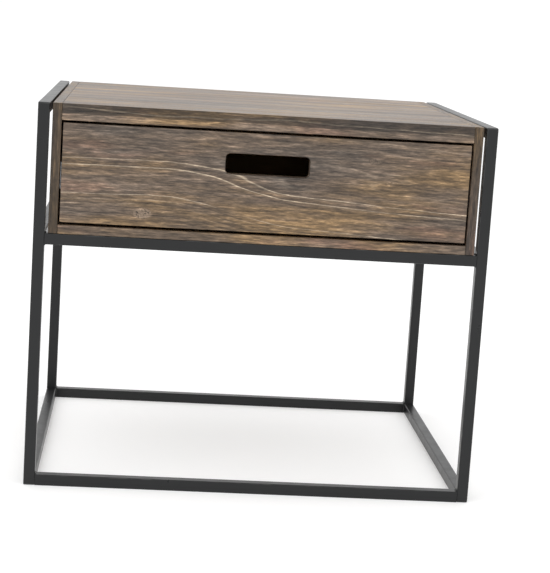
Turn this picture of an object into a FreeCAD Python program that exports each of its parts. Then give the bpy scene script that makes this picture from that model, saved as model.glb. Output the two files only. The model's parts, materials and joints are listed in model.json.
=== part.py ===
import FreeCAD, Part
import os
import re
import Sketcher
from FreeCAD import Placement, Rotation, Vector

# Side table with one drawer: a welded square-tube frame around a wooden carcass.
# Millimetres, +Z up, X to the right, the front faces -Y.
# The origin is on the floor, under the middle of the table.

DIMENSIONS = [
    # alias, value, what it sets
    ("table_width", 600, "overall width, over the legs"),
    ("table_depth", 515, "overall depth, over the legs"),
    ("table_height", 510, "floor to the top of the frame"),
    ("tube_size", 15, "side of the square tube"),
    ("tube_wall", 1.5, "wall of the square tube"),
    ("tube_edge_radius", 1.5, "rounding along the tube's edges"),
    ("tube_corner_radius", 3, "grinding of the welded outer corners"),
    ("case_height", 170, "carcass, from the support rails to the top of the frame"),
    ("side_clearance", 4, "gap between a leg and the carcass side"),
    ("side_thickness", 12, "carcass side panels"),
    ("top_thickness", 22, "top panel"),
    ("bottom_thickness", 12, "bottom panel"),
    ("back_thickness", 6, "back panel"),
    ("back_clear", 3, "back panel to the rear row of carcass screws"),
    ("groove_depth", 5, "grooves that hold the back panel and the drawer bottom"),
    ("groove_clearance", 0.5, "room at the bottom of a groove"),
    ("front_thickness", 18, "drawer front"),
    ("gap_top", 3, "drawer front to the top panel"),
    ("gap_bottom", 3.5, "drawer front to the bottom panel"),
    ("gap_side", 2.25, "drawer front to a side panel"),
    ("slot_width", 110, "finger slot, end to end"),
    ("slot_height", 27, "finger slot, top to bottom"),
    ("slot_drop", 41, "top of the drawer front to the middle of the slot"),
    ("slot_radius", 6, "corners of the finger slot"),
    ("box_lift", 6.5, "underside of the drawer sides above that of the drawer front"),
    ("box_drop", 18, "top of the drawer sides below the top of the drawer front"),
    ("box_overrun", 3, "drawer sides, past the rear end of the slides"),
    ("box_thickness", 12, "drawer sides and drawer back"),
    ("base_thickness", 5, "drawer bottom"),
    ("base_lift", 10, "drawer bottom above the underside of the drawer sides"),
    ("dowel_radius", 3, "wooden dowels"),
    ("dowel_skin", 4, "wood left beyond a dowel in the face of a side"),
    ("front_skin", 8, "wood left beyond a dowel in the drawer front"),
    ("dowel_reach", 20, "dowel length inside an end of a board"),
    ("dowel_fit", 0.05, "room around a dowel"),
    ("hole_room", 1, "room past the end of a dowel or screw"),
    ("dowel_inset", 60, "outer carcass dowels, in from the front and rear edges"),
    ("box_dowel_inset", 25, "drawer dowels, in from the edges of a drawer side"),
    ("slide_setback", 2, "slides, behind the drawer front"),
    ("slide_rear_room", 26.5, "slides to the back panel"),
    ("slide_height", 35, "outer slide member"),
    ("slide_gauge", 1.2, "steel of the slide members"),
    ("slide_gap", 2, "outer slide member to the drawer side"),
    ("ball_radius", 2.6, "balls of the slides"),
    ("ball_fit", 0.05, "room around a ball in its raceway"),
    ("ball_hold", 0.2, "how far each lip reaches around a ball"),
    ("ball_pitch", 14, "spacing of the balls"),
    ("cage_length", 120, "ball cage, which sets how far the drawer pulls out"),
    ("cage_gauge", 0.8, "strip of the ball cage"),
    ("cage_fit", 0.15, "room around a ball in its cage"),
    ("cage_head_gap", 0.2, "ball cage to the heads of the outer slide screws"),
    ("cage_lip_gap", 0.3, "ball cage to the lips of the slide members"),
    ("bumper_length", 6, "rubber bumper at the rear of a slide"),
    ("bumper_gap", 0.3, "bumper to the closed inner slide member"),
    ("slide_screw_radius", 1.6, "slide screws, shank"),
    ("slide_screw_skin", 2, "wood left beyond a slide screw"),
    ("slide_head_radius", 3.2, "slide screws, head"),
    ("slide_head_height", 1, "slide screws, head"),
    ("slide_screw_inset", 40, "slide screws, in from the ends of the slide"),
    ("rail_screw_radius", 2, "screws through the support rails, shank"),
    ("rail_screw_skin", 3, "wood left beyond a screw in the bottom panel"),
    ("rail_head_radius", 4, "screws through the support rails, head"),
    ("rail_head_height", 2.4, "screws through the support rails, head"),
    ("rail_head_room", 1, "room around a screw's head in the access hole below it"),
    ("rail_screw_inset", 90, "screws through the support rails, in from the rail's ends"),
    ("screw_fit", 0.1, "room around a screw"),
]

BALL_COUNT = 8          # balls in each raceway of a slide
SLIDE_SCREW_COUNT = 3   # screws in each slide member
NEARLY_ZERO = 1e-6      # differences below this are rounding

doc = FreeCAD.newDocument("side_table")
sheet = doc.addObject("Spreadsheet::Sheet", "Sheet")
for row, (alias, size, note) in enumerate(DIMENSIONS, start=1):
    sheet.set(f"A{row}", alias)
    sheet.set(f"B{row}", str(size))
    sheet.set(f"C{row}", note)
    sheet.setAlias(f"B{row}", alias)
doc.recompute()


# ---------------------------------------------------------------- places, as formulas
LEG_OUTER = "(table_width / 2)"
LEG_INNER = f"({LEG_OUTER} - tube_size)"
FRAME_FRONT = "(table_depth / 2)"
SUPPORT_TOP = "(table_height - case_height)"
SUPPORT_BOTTOM = f"({SUPPORT_TOP} - tube_size)"

CARCASS_OUTER = f"({LEG_INNER} - side_clearance)"
CARCASS_INNER = f"({CARCASS_OUTER} - side_thickness)"
OPENING_BOTTOM = f"({SUPPORT_TOP} + bottom_thickness)"
OPENING_TOP = "(table_height - top_thickness)"
BACK_FAR = "(table_depth / 2 - tube_size / 2 - rail_screw_radius - back_clear)"
BACK_NEAR = f"({BACK_FAR} - back_thickness)"
SEAT_IN_GROOVE = "(groove_depth - groove_clearance)"

FRONT_HALF = f"({CARCASS_INNER} - gap_side)"
FRONT_BOTTOM = f"({OPENING_BOTTOM} + gap_bottom)"
FRONT_TOP = f"({OPENING_TOP} - gap_top)"
FRONT_HEIGHT = f"({FRONT_TOP} - {FRONT_BOTTOM})"

# The section of a slide is given by depths from the carcass side and heights from its middle.
CAGE_NEAR = "(slide_gauge + slide_head_height + cage_head_gap)"
INNER_NEAR = f"({CAGE_NEAR} + cage_gauge + cage_lip_gap)"
BALL_DEPTH = f"({INNER_NEAR} + slide_gauge + ball_radius - ball_hold)"
OUTER_DEPTH = f"({BALL_DEPTH} + ball_radius - ball_hold + slide_gauge)"
CAGE_DEPTH = f"({OUTER_DEPTH} - slide_gauge - cage_lip_gap)"
SLIDE_THICKNESS = f"({OUTER_DEPTH} + slide_gap)"
FLANGE_INSIDE = "(slide_height / 2 - slide_gauge)"
BALL_HEIGHT = f"({FLANGE_INSIDE} - ball_fit - ball_radius)"
INNER_HALF = f"({BALL_HEIGHT} - ball_radius - ball_fit)"
LIP_ABOVE_BALL = "sqrt((ball_radius + ball_fit) ^ 2 - (ball_radius - ball_hold) ^ 2)"
SLIDE_LIP = f"(ball_radius + ball_fit - {LIP_ABOVE_BALL})"

BOX_START = "(front_thickness - table_depth / 2)"
SLIDE_START = f"({BOX_START} + slide_setback)"
SLIDE_END = f"({BACK_NEAR} - slide_rear_room)"
SLIDE_LENGTH = f"({SLIDE_END} - {SLIDE_START})"
INNER_LENGTH = f"({SLIDE_LENGTH} - bumper_length - bumper_gap)"
CAGE_START = f"({SLIDE_START} + ({SLIDE_LENGTH} - cage_length) / 2)"

BOX_END = f"({SLIDE_END} + box_overrun)"
BOX_BACK = f"({BOX_END} - box_thickness)"
BOX_OUTER = f"({CARCASS_INNER} - {SLIDE_THICKNESS})"
BOX_INNER = f"({BOX_OUTER} - box_thickness)"
BOX_BOTTOM = f"({FRONT_BOTTOM} + box_lift)"
BOX_TOP = f"({FRONT_TOP} - box_drop)"
BASE_BOTTOM = f"({BOX_BOTTOM} + base_lift)"
BASE_TOP = f"({BASE_BOTTOM} + base_thickness)"
SLIDE_MIDDLE = f"(({BOX_BOTTOM} + {BOX_TOP}) / 2)"

CARCASS_SEAT = "(side_thickness - dowel_skin)"
BOX_SEAT = "(box_thickness - dowel_skin)"
FRONT_SEAT = "(front_thickness - front_skin)"
RAIL_SCREW_REACH = "(bottom_thickness - rail_screw_skin)"
OUTER_SCREW_REACH = "(side_thickness - slide_screw_skin)"
INNER_SCREW_REACH = "(box_thickness - slide_screw_skin)"

SIDES = [("left", -1), ("right", 1)]
ENDS = [("front", -1), ("back", 1)]
X, Y, Z = Vector(1, 0, 0), Vector(0, 1, 0), Vector(0, 0, 1)

parts = []


# ---------------------------------------------------------------- helpers
def linked(formula):
    """Return the formula with each dimension's name pointed at its cell of the sheet."""
    return re.sub(r"\b[a-z_]+\b(?!\()", lambda name: "Sheet." + name.group(), formula)


def size_of(formula):
    """Return the formula's present value."""
    return float(sheet.evalExpression(linked(formula)))


def times(sign, formula):
    """Return the formula, negated on the left and front."""
    return formula if sign > 0 else f"(-{formula})"


def bind(thing, **formulas):
    """Bind an object's sizes to the sheet."""
    for name, formula in formulas.items():
        thing.setExpression(name, linked(formula))


def bind_place(thing, place, turn=None):
    """Bind an object's place to the sheet, after an optional rotation."""
    if turn is not None:
        thing.Placement = Placement(Vector(), turn)
    for axis, formula in zip("xyz", place):
        thing.setExpression(f"Placement.Base.{axis}", linked(formula))


def keep(thing, node):
    """Name a finished sub-part."""
    thing.Label = node
    parts.append(thing)
    return thing


# ---------------------------------------------------------------- primitives and booleans
def block(low, high):
    """Return a box between two corners."""
    box = doc.addObject("Part::Box", "block")
    sizes = [f"({end}) - ({start})" for start, end in zip(low, high)]
    bind(box, Length=sizes[0], Width=sizes[1], Height=sizes[2])
    bind_place(box, low)
    return box


def rod(place, direction, radius, length):
    """Return a cylinder that starts at a place and runs along a direction."""
    cylinder = doc.addObject("Part::Cylinder", "rod")
    bind(cylinder, Radius=radius, Height=length)
    bind_place(cylinder, place, Rotation(Z, direction))
    return cylinder


def group(things):
    """Return separate solids as one object."""
    cluster = doc.addObject("Part::Compound", "group")
    cluster.Links = things
    return cluster


def cut(base, tools):
    """Return the base with the tools taken out of it."""
    result = doc.addObject("Part::Cut", "cut")
    result.Base = base
    result.Tool = group(tools)
    return result


def screw(place, direction, shank_radius, shank_length, head_radius, head_height):
    """Return a screw: its head's seat is at the place, and its shank runs along the direction."""
    shank = rod(place, direction, shank_radius, shank_length)
    head = rod(place, direction * -1, head_radius, head_height)
    whole = doc.addObject("Part::Fuse", "screw")
    whole.Base = shank
    whole.Tool = head
    return whole


# ---------------------------------------------------------------- sketched features
def sketch_on(body, plane):
    """Return an empty sketch on one of the body's own planes."""
    sketch = body.newObject("Sketcher::SketchObject", "sketch")
    planes = {feature.Role: feature for feature in body.Origin.OriginFeatures}
    sketch.AttachmentSupport = [(planes[plane], "")]
    sketch.MapMode = "FlatFace"
    return sketch


def bind_point(sketch, geometry, point, place):
    """Bind a sketch point's two coordinates to the sheet."""
    for kind, formula in zip(("DistanceX", "DistanceY"), place):
        constraint = Sketcher.Constraint(kind, -1, 1, geometry, point, size_of(formula))
        index = sketch.addConstraint(constraint)
        sketch.setExpression(f"Constraints[{index}]", linked(formula))


def draw_outline(sketch, corners):
    """Draw a closed outline of straight lines through the corners."""
    points = [Vector(size_of(u), size_of(v), 0) for u, v in corners]
    first = sketch.GeometryCount
    count = len(points)
    for index in range(count):
        line = Part.LineSegment(points[index], points[(index + 1) % count])
        sketch.addGeometry(line, False)
    for index in range(count):
        following = first + (index + 1) % count
        sketch.addConstraint(Sketcher.Constraint("Coincident", first + index, 2, following, 1))
    for index, place in enumerate(corners):
        bind_point(sketch, first + index, 1, place)


def draw_rectangle(sketch, low, high):
    """Draw a rectangle between two corners."""
    draw_outline(sketch, [low, (high[0], low[1]), high, (low[0], high[1])])


def draw_circle(sketch, centre, radius):
    """Draw a circle."""
    place = Vector(size_of(centre[0]), size_of(centre[1]), 0)
    index = sketch.addGeometry(Part.Circle(place, Z, size_of(radius)), False)
    bind_point(sketch, index, 3, centre)
    constraint = sketch.addConstraint(Sketcher.Constraint("Radius", index, size_of(radius)))
    sketch.setExpression(f"Constraints[{constraint}]", linked(radius))


def pad(body, sketch, length, reverse=False, symmetric=False):
    """Pad a sketch."""
    feature = body.newObject("PartDesign::Pad", "pad")
    feature.Profile = sketch
    feature.Reversed = reverse
    if symmetric:
        feature.SideType = "Symmetric"
    bind(feature, Length=length)
    return feature


def pocket(body, sketch, length=None, reverse=False):
    """Cut a sketch out of the body: to a depth, or through everything on both sides."""
    feature = body.newObject("PartDesign::Pocket", "pocket")
    feature.Profile = sketch
    if length is None:
        feature.Type = "ThroughAll"
        feature.SideType = "Symmetric"
    else:
        feature.Reversed = reverse
        bind(feature, Length=length)
    return feature


def round_edges(body, radius, wanted):
    """Round the edges of the body that the test picks."""
    doc.recompute()
    base = body.Tip
    names = [
        f"Edge{number}"
        for number, edge in enumerate(base.Shape.Edges, start=1)
        if wanted(edge)
    ]
    feature = body.newObject("PartDesign::Fillet", "fillet")
    feature.Base = (base, names)
    bind(feature, Radius=radius)
    return feature


def runs_along(edge, direction):
    """Tell whether an edge is straight and parallel to a direction."""
    if edge.Curve.TypeId != "Part::GeomLine":
        return False
    return abs(abs(edge.tangentAt(edge.FirstParameter).dot(direction)) - 1) < NEARLY_ZERO


# ---------------------------------------------------------------- square-tube frame
def square_tube(node, length, place, along, inward, mitred=False, holes=()):
    """A length of square tube.

    In its own frame the tube runs along +X from the origin, and Z = 0 is its outer face.
    along and inward are the directions of those two axes on the table.
    A mitred tube is cut at 45 degrees at both ends, so its outer face is its longest.
    holes are the places along the tube of screws through its inner wall. Each one's head
    lies inside the tube, above an access hole through the outer wall.
    """
    body = doc.addObject("PartDesign::Body", "tube")
    outline = sketch_on(body, "XZ_Plane")
    draw_rectangle(outline, ("0", "0"), (length, "tube_size"))
    pad(body, outline, "tube_size", symmetric=True)
    if mitred:
        round_edges(
            body,
            "tube_corner_radius",
            lambda edge: runs_along(edge, Y) and abs(edge.CenterOfMass.z) < NEARLY_ZERO,
        )
    round_edges(body, "tube_edge_radius", lambda edge: runs_along(edge, X))
    bore = sketch_on(body, "YZ_Plane")
    draw_rectangle(
        bore,
        ("tube_wall - tube_size / 2", "tube_wall"),
        ("tube_size / 2 - tube_wall", "tube_size - tube_wall"),
    )
    pocket(body, bore)
    if mitred:
        ends = sketch_on(body, "XZ_Plane")
        far_inner = f"{length} - tube_size"
        draw_outline(ends, [("0", "0"), ("tube_size", "tube_size"), ("0", "tube_size")])
        draw_outline(ends, [(length, "0"), (length, "tube_size"), (far_inner, "tube_size")])
        pocket(body, ends)
    if holes:
        drilled = sketch_on(body, "XY_Plane")
        access = sketch_on(body, "XY_Plane")
        for position in holes:
            draw_circle(drilled, (position, "0"), "rail_screw_radius + screw_fit")
            draw_circle(access, (position, "0"), "rail_head_radius + rail_head_room")
        pocket(body, drilled)
        pocket(body, access, "tube_wall", reverse=True)
    turn = Rotation(along, inward.cross(along), inward, "ZXY")
    bind_place(body, place, turn)
    return keep(body, node)


def side_hoops():
    """Two welded rectangles of mitred tube: a pair of legs, a top rail and a bottom rail."""
    for side, sign in SIDES:
        middle = f"{sign} * (table_width / 2 - tube_size / 2)"
        for end, way in ENDS:
            place = (middle, times(way, FRAME_FRONT), "0")
            square_tube(f"leg_{end}_{side}", "table_height", place, Z, Y * -way, mitred=True)
        bottom = (middle, times(-1, FRAME_FRONT), "0")
        top = (middle, times(-1, FRAME_FRONT), "table_height")
        square_tube(f"bottom_rail_{side}", "table_depth", bottom, Y, Z, mitred=True)
        square_tube(f"top_rail_{side}", "table_depth", top, Y, Z * -1, mitred=True)


def cross_rails():
    """Rails between the legs: at the floor, and the four that the carcass sits among."""
    span = f"(2 * {LEG_INNER})"
    along_side = "(table_depth - 2 * tube_size)"
    screws = ("rail_screw_inset", f"{span} - rail_screw_inset")
    for end, way in ENDS:
        middle = f"{way} * (table_depth / 2 - tube_size / 2)"
        start = times(-1, LEG_INNER)
        square_tube(f"bottom_rail_{end}", span, (start, middle, "0"), X, Z)
        support = (start, middle, SUPPORT_BOTTOM)
        square_tube(f"support_rail_{end}", span, support, X, Z, holes=screws)
    for side, sign in SIDES:
        middle = f"{sign} * (table_width / 2 - tube_size / 2)"
        place = (middle, "tube_size - table_depth / 2", SUPPORT_BOTTOM)
        square_tube(f"support_rail_{side}", along_side, place, Y, Z)


# ---------------------------------------------------------------- carcass
CARCASS_DOWEL_ROWS = [
    times(-1, "(table_depth / 2 - dowel_inset)"),
    "0",
    "(table_depth / 2 - dowel_inset)",
]
CARCASS_DOWEL_LEVELS = {
    "top": "(table_height - top_thickness / 2)",
    "bottom": f"({SUPPORT_TOP} + bottom_thickness / 2)",
}
HOLE_RADIUS = "dowel_radius + dowel_fit"


def across(sign, formula):
    """Return the same distance from the middle, on the left or on the right."""
    return times(sign, f"({formula})")


def side_panels():
    """Full-height sides, grooved for the back and drilled for the dowels and slide screws."""
    for side, sign in SIDES:
        faces = sorted([across(sign, CARCASS_OUTER), across(sign, CARCASS_INNER)], key=size_of)
        panel = block(
            (faces[0], times(-1, FRAME_FRONT), SUPPORT_TOP),
            (faces[1], FRAME_FRONT, "table_height"),
        )
        groove_faces = sorted(
            [across(sign, CARCASS_INNER), across(sign, f"{CARCASS_INNER} + groove_depth")],
            key=size_of,
        )
        tools = [block(
            (groove_faces[0], BACK_NEAR, f"{OPENING_BOTTOM} - groove_depth"),
            (groove_faces[1], BACK_FAR, f"{OPENING_TOP} + groove_depth"),
        )]
        for level in CARCASS_DOWEL_LEVELS.values():
            for row in CARCASS_DOWEL_ROWS:
                mouth = (across(sign, CARCASS_INNER), row, level)
                tools.append(rod(mouth, X * sign, HOLE_RADIUS, f"{CARCASS_SEAT} + hole_room"))
        for position in screw_positions(SLIDE_LENGTH):
            mouth = (across(sign, CARCASS_INNER), position, SLIDE_MIDDLE)
            depth = f"{OUTER_SCREW_REACH} + hole_room"
            tools.append(rod(mouth, X * sign, "slide_screw_radius + screw_fit", depth))
        keep(cut(panel, tools), f"{side}_side_panel")


def level_panels():
    """Top and bottom panels between the sides, with a groove for the back."""
    levels = {
        "top": (OPENING_TOP, "table_height", OPENING_TOP, f"{OPENING_TOP} + groove_depth"),
        "bottom": (
            SUPPORT_TOP, OPENING_BOTTOM, f"{OPENING_BOTTOM} - groove_depth", OPENING_BOTTOM,
        ),
    }
    left = times(-1, CARCASS_INNER)
    for name, (low, high, groove_low, groove_high) in levels.items():
        panel = block((left, times(-1, FRAME_FRONT), low), (CARCASS_INNER, FRAME_FRONT, high))
        tools = [block((left, BACK_NEAR, groove_low), (CARCASS_INNER, BACK_FAR, groove_high))]
        for side, sign in SIDES:
            for row in CARCASS_DOWEL_ROWS:
                mouth = (across(sign, CARCASS_INNER), row, CARCASS_DOWEL_LEVELS[name])
                tools.append(rod(mouth, X * -sign, HOLE_RADIUS, "dowel_reach + hole_room"))
        if name == "bottom":
            for x, y in rail_screw_places():
                depth = f"{RAIL_SCREW_REACH} + hole_room"
                tools.append(rod((x, y, SUPPORT_TOP), Z, "rail_screw_radius + screw_fit", depth))
        keep(cut(panel, tools), f"{name}_panel")


def back_panel():
    """Thin back, held in the grooves."""
    half = f"({CARCASS_INNER} + {SEAT_IN_GROOVE})"
    low = (times(-1, half), BACK_NEAR, f"{OPENING_BOTTOM} - {SEAT_IN_GROOVE}")
    high = (half, BACK_FAR, f"{OPENING_TOP} + {SEAT_IN_GROOVE}")
    keep(block(low, high), "back_panel")


def carcass_dowels():
    """Dowels that hold the top and bottom panels between the sides."""
    dowels = []
    for side, sign in SIDES:
        for level in CARCASS_DOWEL_LEVELS.values():
            for row in CARCASS_DOWEL_ROWS:
                start = (across(sign, f"{CARCASS_INNER} + {CARCASS_SEAT}"), row, level)
                length = f"{CARCASS_SEAT} + dowel_reach"
                dowels.append(rod(start, X * -sign, "dowel_radius", length))
    keep(group(dowels), "carcass_dowels")


def rail_screw_places():
    """Return the places of the screws that hold the carcass down."""
    reach = f"({LEG_INNER} - rail_screw_inset)"
    row = "(table_depth / 2 - tube_size / 2)"
    return [(times(sign, reach), times(way, row)) for _, way in ENDS for _, sign in SIDES]


def rail_screws():
    """Screws up through the front and back support rails' top walls into the bottom panel."""
    seat = f"{SUPPORT_TOP} - tube_wall"
    length = f"tube_wall + {RAIL_SCREW_REACH}"
    screws = [
        screw((x, y, seat), Z, "rail_screw_radius", length,
              "rail_head_radius", "rail_head_height")
        for x, y in rail_screw_places()
    ]
    keep(group(screws), "carcass_screws")


# ---------------------------------------------------------------- drawer slides
def screw_positions(length):
    """Return the places along Y of the screws in a slide member of this length."""
    step = f"(({length} - 2 * slide_screw_inset) / {SLIDE_SCREW_COUNT - 1})"
    return [
        f"({SLIDE_START} + slide_screw_inset + {index} * {step})"
        for index in range(SLIDE_SCREW_COUNT)
    ]


def slide_strip(node, sign, corners, start, length, holes=()):
    """A folded strip that runs along Y.

    corners are the lower half of its section: the distance from the carcass side, then the
    height below the middle of the slide. The upper half mirrors them.
    holes are screw holes along Y.
    """
    body = doc.addObject("PartDesign::Body", "strip")
    section = sketch_on(body, "XZ_Plane")
    lower = [(depth, f"-({height})") for depth, height in corners]
    upper = [(depth, f"({height})") for depth, height in reversed(corners)]
    draw_outline(section, lower + upper)
    pad(body, section, length, reverse=True)
    if holes:
        drilled = sketch_on(body, "YZ_Plane")
        for position in holes:
            draw_circle(drilled, (f"{position} - {start}", "0"), "slide_screw_radius + screw_fit")
        pocket(body, drilled)
    turn = Rotation() if sign < 0 else Rotation(Y, 180)
    bind_place(body, (across(sign, CARCASS_INNER), start, SLIDE_MIDDLE), turn)
    return keep(body, node)


def outer_section():
    """Half the section of the member on the carcass: a channel with lips that turn inwards."""
    half = "slide_height / 2"
    lip_edge = f"{FLANGE_INSIDE} - {SLIDE_LIP}"
    lip_start = f"{OUTER_DEPTH} - slide_gauge"
    return [
        ("slide_gauge", FLANGE_INSIDE),
        (lip_start, FLANGE_INSIDE),
        (lip_start, lip_edge),
        (OUTER_DEPTH, lip_edge),
        (OUTER_DEPTH, half),
        ("0", half),
    ]


def inner_section():
    """Half the section of the member on the drawer: a channel with lips that turn outwards."""
    lip_edge = f"{INNER_HALF} + {SLIDE_LIP}"
    lip_end = f"{INNER_NEAR} + slide_gauge"
    flange_inside = f"{INNER_HALF} - slide_gauge"
    return [
        (f"{SLIDE_THICKNESS} - slide_gauge", flange_inside),
        (INNER_NEAR, flange_inside),
        (INNER_NEAR, lip_edge),
        (lip_end, lip_edge),
        (lip_end, INNER_HALF),
        (SLIDE_THICKNESS, INNER_HALF),
    ]


def cage_section():
    """Half the section of the ball cage: a channel whose edges lie between the two members."""
    outside = f"{BALL_HEIGHT} + cage_gauge / 2"
    inside = f"{BALL_HEIGHT} - cage_gauge / 2"
    return [
        (f"{CAGE_NEAR} + cage_gauge", inside),
        (CAGE_DEPTH, inside),
        (CAGE_DEPTH, outside),
        (CAGE_NEAR, outside),
    ]


def slides():
    """Slide members, each with its two ball rows in a cage that travels half as far."""
    for side, sign in SIDES:
        slide_strip(f"outer_slide_{side}", sign, outer_section(), SLIDE_START, SLIDE_LENGTH,
                    screw_positions(SLIDE_LENGTH))
        slide_strip(f"inner_slide_{side}", sign, inner_section(), SLIDE_START, INNER_LENGTH,
                    screw_positions(INNER_LENGTH))
        ball_cage(side, sign)


def ball_places():
    """Return the places of a cage's balls: along Y, then above the middle of the slide."""
    middle = f"({SLIDE_START} + {SLIDE_LENGTH} / 2)"
    places = []
    for index in range(BALL_COUNT):
        offset = index - (BALL_COUNT - 1) / 2
        for level in (times(-1, BALL_HEIGHT), BALL_HEIGHT):
            places.append((f"({middle} + {offset} * ball_pitch)", level))
    return places


def ball_cage(side, sign):
    """A cage strip with its holes, and the balls in them."""
    body = slide_strip(f"ball_cage_{side}", sign, cage_section(), CAGE_START, "cage_length")
    drilled = sketch_on(body, "XY_Plane")
    for index in range(BALL_COUNT):
        offset = index - (BALL_COUNT - 1) / 2
        along = f"cage_length / 2 + {offset} * ball_pitch"
        draw_circle(drilled, (BALL_DEPTH, along), "ball_radius + cage_fit")
    pocket(body, drilled)
    balls = []
    for along, level in ball_places():
        ball = doc.addObject("Part::Sphere", "ball")
        bind(ball, Radius="ball_radius")
        depth = across(sign, f"{CARCASS_INNER} - {BALL_DEPTH}")
        bind_place(ball, (depth, along, f"{SLIDE_MIDDLE} + {level}"))
        balls.append(ball)
    keep(group(balls), f"slide_balls_{side}")


def slide_fasteners():
    """Screws of both members, and the rubber bumpers that the closed drawer stops against."""
    outer_screws = []
    inner_screws = []
    bumpers = []
    for side, sign in SIDES:
        seat = across(sign, f"{CARCASS_INNER} - slide_gauge")
        for position in screw_positions(SLIDE_LENGTH):
            outer_screws.append(screw(
                (seat, position, SLIDE_MIDDLE), X * sign, "slide_screw_radius",
                f"slide_gauge + {OUTER_SCREW_REACH}", "slide_head_radius", "slide_head_height"))
        seat = across(sign, f"{BOX_OUTER} + slide_gauge")
        for position in screw_positions(INNER_LENGTH):
            inner_screws.append(screw(
                (seat, position, SLIDE_MIDDLE), X * -sign, "slide_screw_radius",
                f"slide_gauge + {INNER_SCREW_REACH}", "slide_head_radius", "slide_head_height"))
        faces = sorted([
            across(sign, f"{CARCASS_INNER} - slide_gauge"),
            across(sign, f"{CARCASS_INNER} - {OUTER_DEPTH} + slide_gauge"),
        ], key=size_of)
        bumpers.append(block(
            (faces[0], f"{SLIDE_END} - bumper_length", f"{SLIDE_MIDDLE} - {INNER_HALF}"),
            (faces[1], SLIDE_END, f"{SLIDE_MIDDLE} + {INNER_HALF}"),
        ))
    keep(group(outer_screws), "outer_slide_screws")
    keep(group(inner_screws), "inner_slide_screws")
    keep(group(bumpers), "slide_bumpers")


# ---------------------------------------------------------------- drawer
BOX_DOWEL_LEVELS = [
    f"({BOX_BOTTOM} + box_dowel_inset)",
    f"({BOX_TOP} - box_dowel_inset)",
]
BOX_DOWEL_LINE = f"({BOX_OUTER} - box_thickness / 2)"
BOX_BACK_LINE = f"({BOX_END} - box_thickness / 2)"


def drawer_front():
    """Inset front with a finger slot through it, a groove for the bottom and dowel holes.

    In its own frame the front face is Y = 0 and the lower edge is Z = 0, centred on X.
    """
    body = doc.addObject("PartDesign::Body", "front")
    outline = sketch_on(body, "XZ_Plane")
    draw_rectangle(outline, (times(-1, FRONT_HALF), "0"), (FRONT_HALF, FRONT_HEIGHT))
    pad(body, outline, "front_thickness", reverse=True)

    slot = sketch_on(body, "XZ_Plane")
    middle = f"({FRONT_HEIGHT} - slot_drop)"
    draw_rectangle(
        slot,
        ("-slot_width / 2", f"{middle} - slot_height / 2"),
        ("slot_width / 2", f"{middle} + slot_height / 2"),
    )
    pocket(body, slot)
    slot_reach = size_of("slot_width / 2") + NEARLY_ZERO
    round_edges(
        body,
        "slot_radius",
        lambda edge: runs_along(edge, Y) and abs(edge.CenterOfMass.x) < slot_reach,
    )

    groove = sketch_on(body, "YZ_Plane")
    lift = f"({BASE_BOTTOM} - {FRONT_BOTTOM})"
    draw_rectangle(
        groove,
        ("front_thickness - groove_depth", lift),
        ("front_thickness", f"{lift} + base_thickness"),
    )
    groove_cut = pocket(body, groove, f"2 * {BOX_OUTER} - box_thickness")
    groove_cut.SideType = "Symmetric"
    bind_place(body, ("0", times(-1, FRAME_FRONT), FRONT_BOTTOM))
    tools = []
    for side, sign in SIDES:
        for level in BOX_DOWEL_LEVELS:
            mouth = (across(sign, BOX_DOWEL_LINE), BOX_START, level)
            tools.append(rod(mouth, Y * -1, HOLE_RADIUS, f"{FRONT_SEAT} + hole_room"))
    keep(cut(body, tools), "drawer_front")


def drawer_sides():
    """Drawer sides, dowelled to the front and to the back, and grooved for the bottom."""
    for side, sign in SIDES:
        faces = sorted([across(sign, BOX_OUTER), across(sign, BOX_INNER)], key=size_of)
        panel = block((faces[0], BOX_START, BOX_BOTTOM), (faces[1], BOX_END, BOX_TOP))
        groove_faces = sorted(
            [across(sign, BOX_INNER), across(sign, f"{BOX_INNER} + groove_depth")],
            key=size_of,
        )
        tools = [block(
            (groove_faces[0], BOX_START, BASE_BOTTOM),
            (groove_faces[1], BOX_END, BASE_TOP),
        )]
        for level in BOX_DOWEL_LEVELS:
            mouth = (across(sign, BOX_DOWEL_LINE), BOX_START, level)
            tools.append(rod(mouth, Y, HOLE_RADIUS, "dowel_reach + hole_room"))
            mouth = (across(sign, BOX_INNER), BOX_BACK_LINE, level)
            tools.append(rod(mouth, X * sign, HOLE_RADIUS, f"{BOX_SEAT} + hole_room"))
        for position in screw_positions(INNER_LENGTH):
            mouth = (across(sign, BOX_OUTER), position, SLIDE_MIDDLE)
            depth = f"{INNER_SCREW_REACH} + hole_room"
            tools.append(rod(mouth, X * -sign, "slide_screw_radius + screw_fit", depth))
        keep(cut(panel, tools), f"drawer_side_{side}")


def drawer_back():
    """Drawer back between the sides."""
    left = times(-1, BOX_INNER)
    panel = block((left, BOX_BACK, BOX_BOTTOM), (BOX_INNER, BOX_END, BOX_TOP))
    tools = [block(
        (left, BOX_BACK, BASE_BOTTOM),
        (BOX_INNER, f"{BOX_BACK} + groove_depth", BASE_TOP),
    )]
    for side, sign in SIDES:
        for level in BOX_DOWEL_LEVELS:
            mouth = (across(sign, BOX_INNER), BOX_BACK_LINE, level)
            tools.append(rod(mouth, X * -sign, HOLE_RADIUS, "dowel_reach + hole_room"))
    keep(cut(panel, tools), "drawer_back")


def drawer_bottom():
    """Thin bottom, held in the grooves of the front, the sides and the back."""
    half = f"({BOX_INNER} + {SEAT_IN_GROOVE})"
    low = (times(-1, half), f"{BOX_START} - {SEAT_IN_GROOVE}", BASE_BOTTOM)
    high = (half, f"{BOX_BACK} + {SEAT_IN_GROOVE}", BASE_TOP)
    keep(block(low, high), "drawer_bottom")


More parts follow.
